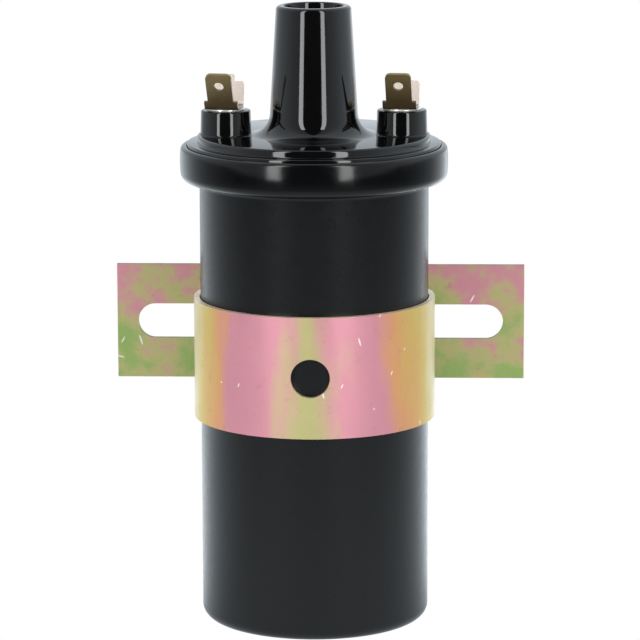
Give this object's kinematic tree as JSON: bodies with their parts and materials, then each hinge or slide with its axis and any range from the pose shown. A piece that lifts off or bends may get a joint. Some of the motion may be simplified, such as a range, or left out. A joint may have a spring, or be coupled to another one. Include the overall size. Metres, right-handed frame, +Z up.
{
  "type": "ignition coil",
  "caption": "Canister ignition coil: drawn can, moulded cap with a high-tension tower, twin-blade terminals, and a clamp bracket with slotted ears that turns round the can.",
  "frame": {"origin": "centre of the can's base", "axes": "+Z up the can's axis to the tower's mouth, +X along the bracket's ears, +Y from the can's axis to the ears"},
  "size_m": [0.1048, 0.0764, 0.152],
  "materials": {
    "can_paint": "satin black paint",
    "cap_moulding": "glossy black phenolic moulding",
    "gasket_rubber": "matt black rubber",
    "contact_brass": "plain turned brass",
    "spring_steel": "bright zinc plate",
    "core_iron": "varnished sheet iron",
    "pressboard": "varnished pressboard",
    "kraft_paper": "oiled kraft paper",
    "winding_copper": "enamelled copper wire",
    "foot_ceramic": "unglazed ceramic",
    "lead_insulation": "varnished sleeving",
    "terminal_brass": "passivated brass",
    "strap_zinc": "zinc plate with an iridescent yellow chromate",
    "fastener_zinc": "zinc plate with a yellow chromate"
  },
  "bodies": {
    "coil": {"can": "can_paint", "insulator_cap": "cap_moulding", "cap_gasket": "gasket_rubber", "ht_contact": "contact_brass", "ht_spring": "spring_steel", "core_plate": "contact_brass", "core_strips": "core_iron", "core_tube": "pressboard", "secondary_winding": "winding_copper", "winding_paper": "kraft_paper", "primary_winding": "winding_copper", "outer_wrap": "kraft_paper", "shield_inner": "core_iron", "shield_outer": "core_iron", "ceramic_foot": "foot_ceramic", "centring_disc": "pressboard", "primary_lead_left": "lead_insulation", "primary_lead_right": "lead_insulation", "terminal_left": "terminal_brass", "terminal_right": "terminal_brass", "rivet_left": "terminal_brass", "rivet_right": "terminal_brass", "post_washer_left": "spring_steel", "post_washer_right": "spring_steel", "lower_washers": "spring_steel"},
    "bracket": {"mounting_strap": "strap_zinc"},
    "screw": {"clamp_screw": "fastener_zinc"},
    "nut": {"lock_washer": "spring_steel", "clamp_nut": "fastener_zinc"}
  },
  "joints": [
    {"name": "bracket_turn", "type": "hinge", "parent": "coil", "child": "bracket", "pos_m": [0, 0, 0.0657], "axis": [0, 0, 1], "continuous": true},
    {"name": "clamp_screw_turn", "type": "hinge", "parent": "bracket", "child": "screw", "pos_m": [0.0039, 0.03578, 0.0657], "axis": [1, 0, 0], "range_deg": [0, 1081]},
    {"name": "clamp_nut_travel", "type": "slide", "parent": "bracket", "child": "nut", "axis": [-1, 0, 0], "range_m": [0, 0.0024]}
  ],
  "couplings": [
    {"joint": "clamp_screw_turn", "follows": "clamp_nut_travel", "rad_per_m": 7854}
  ]
}
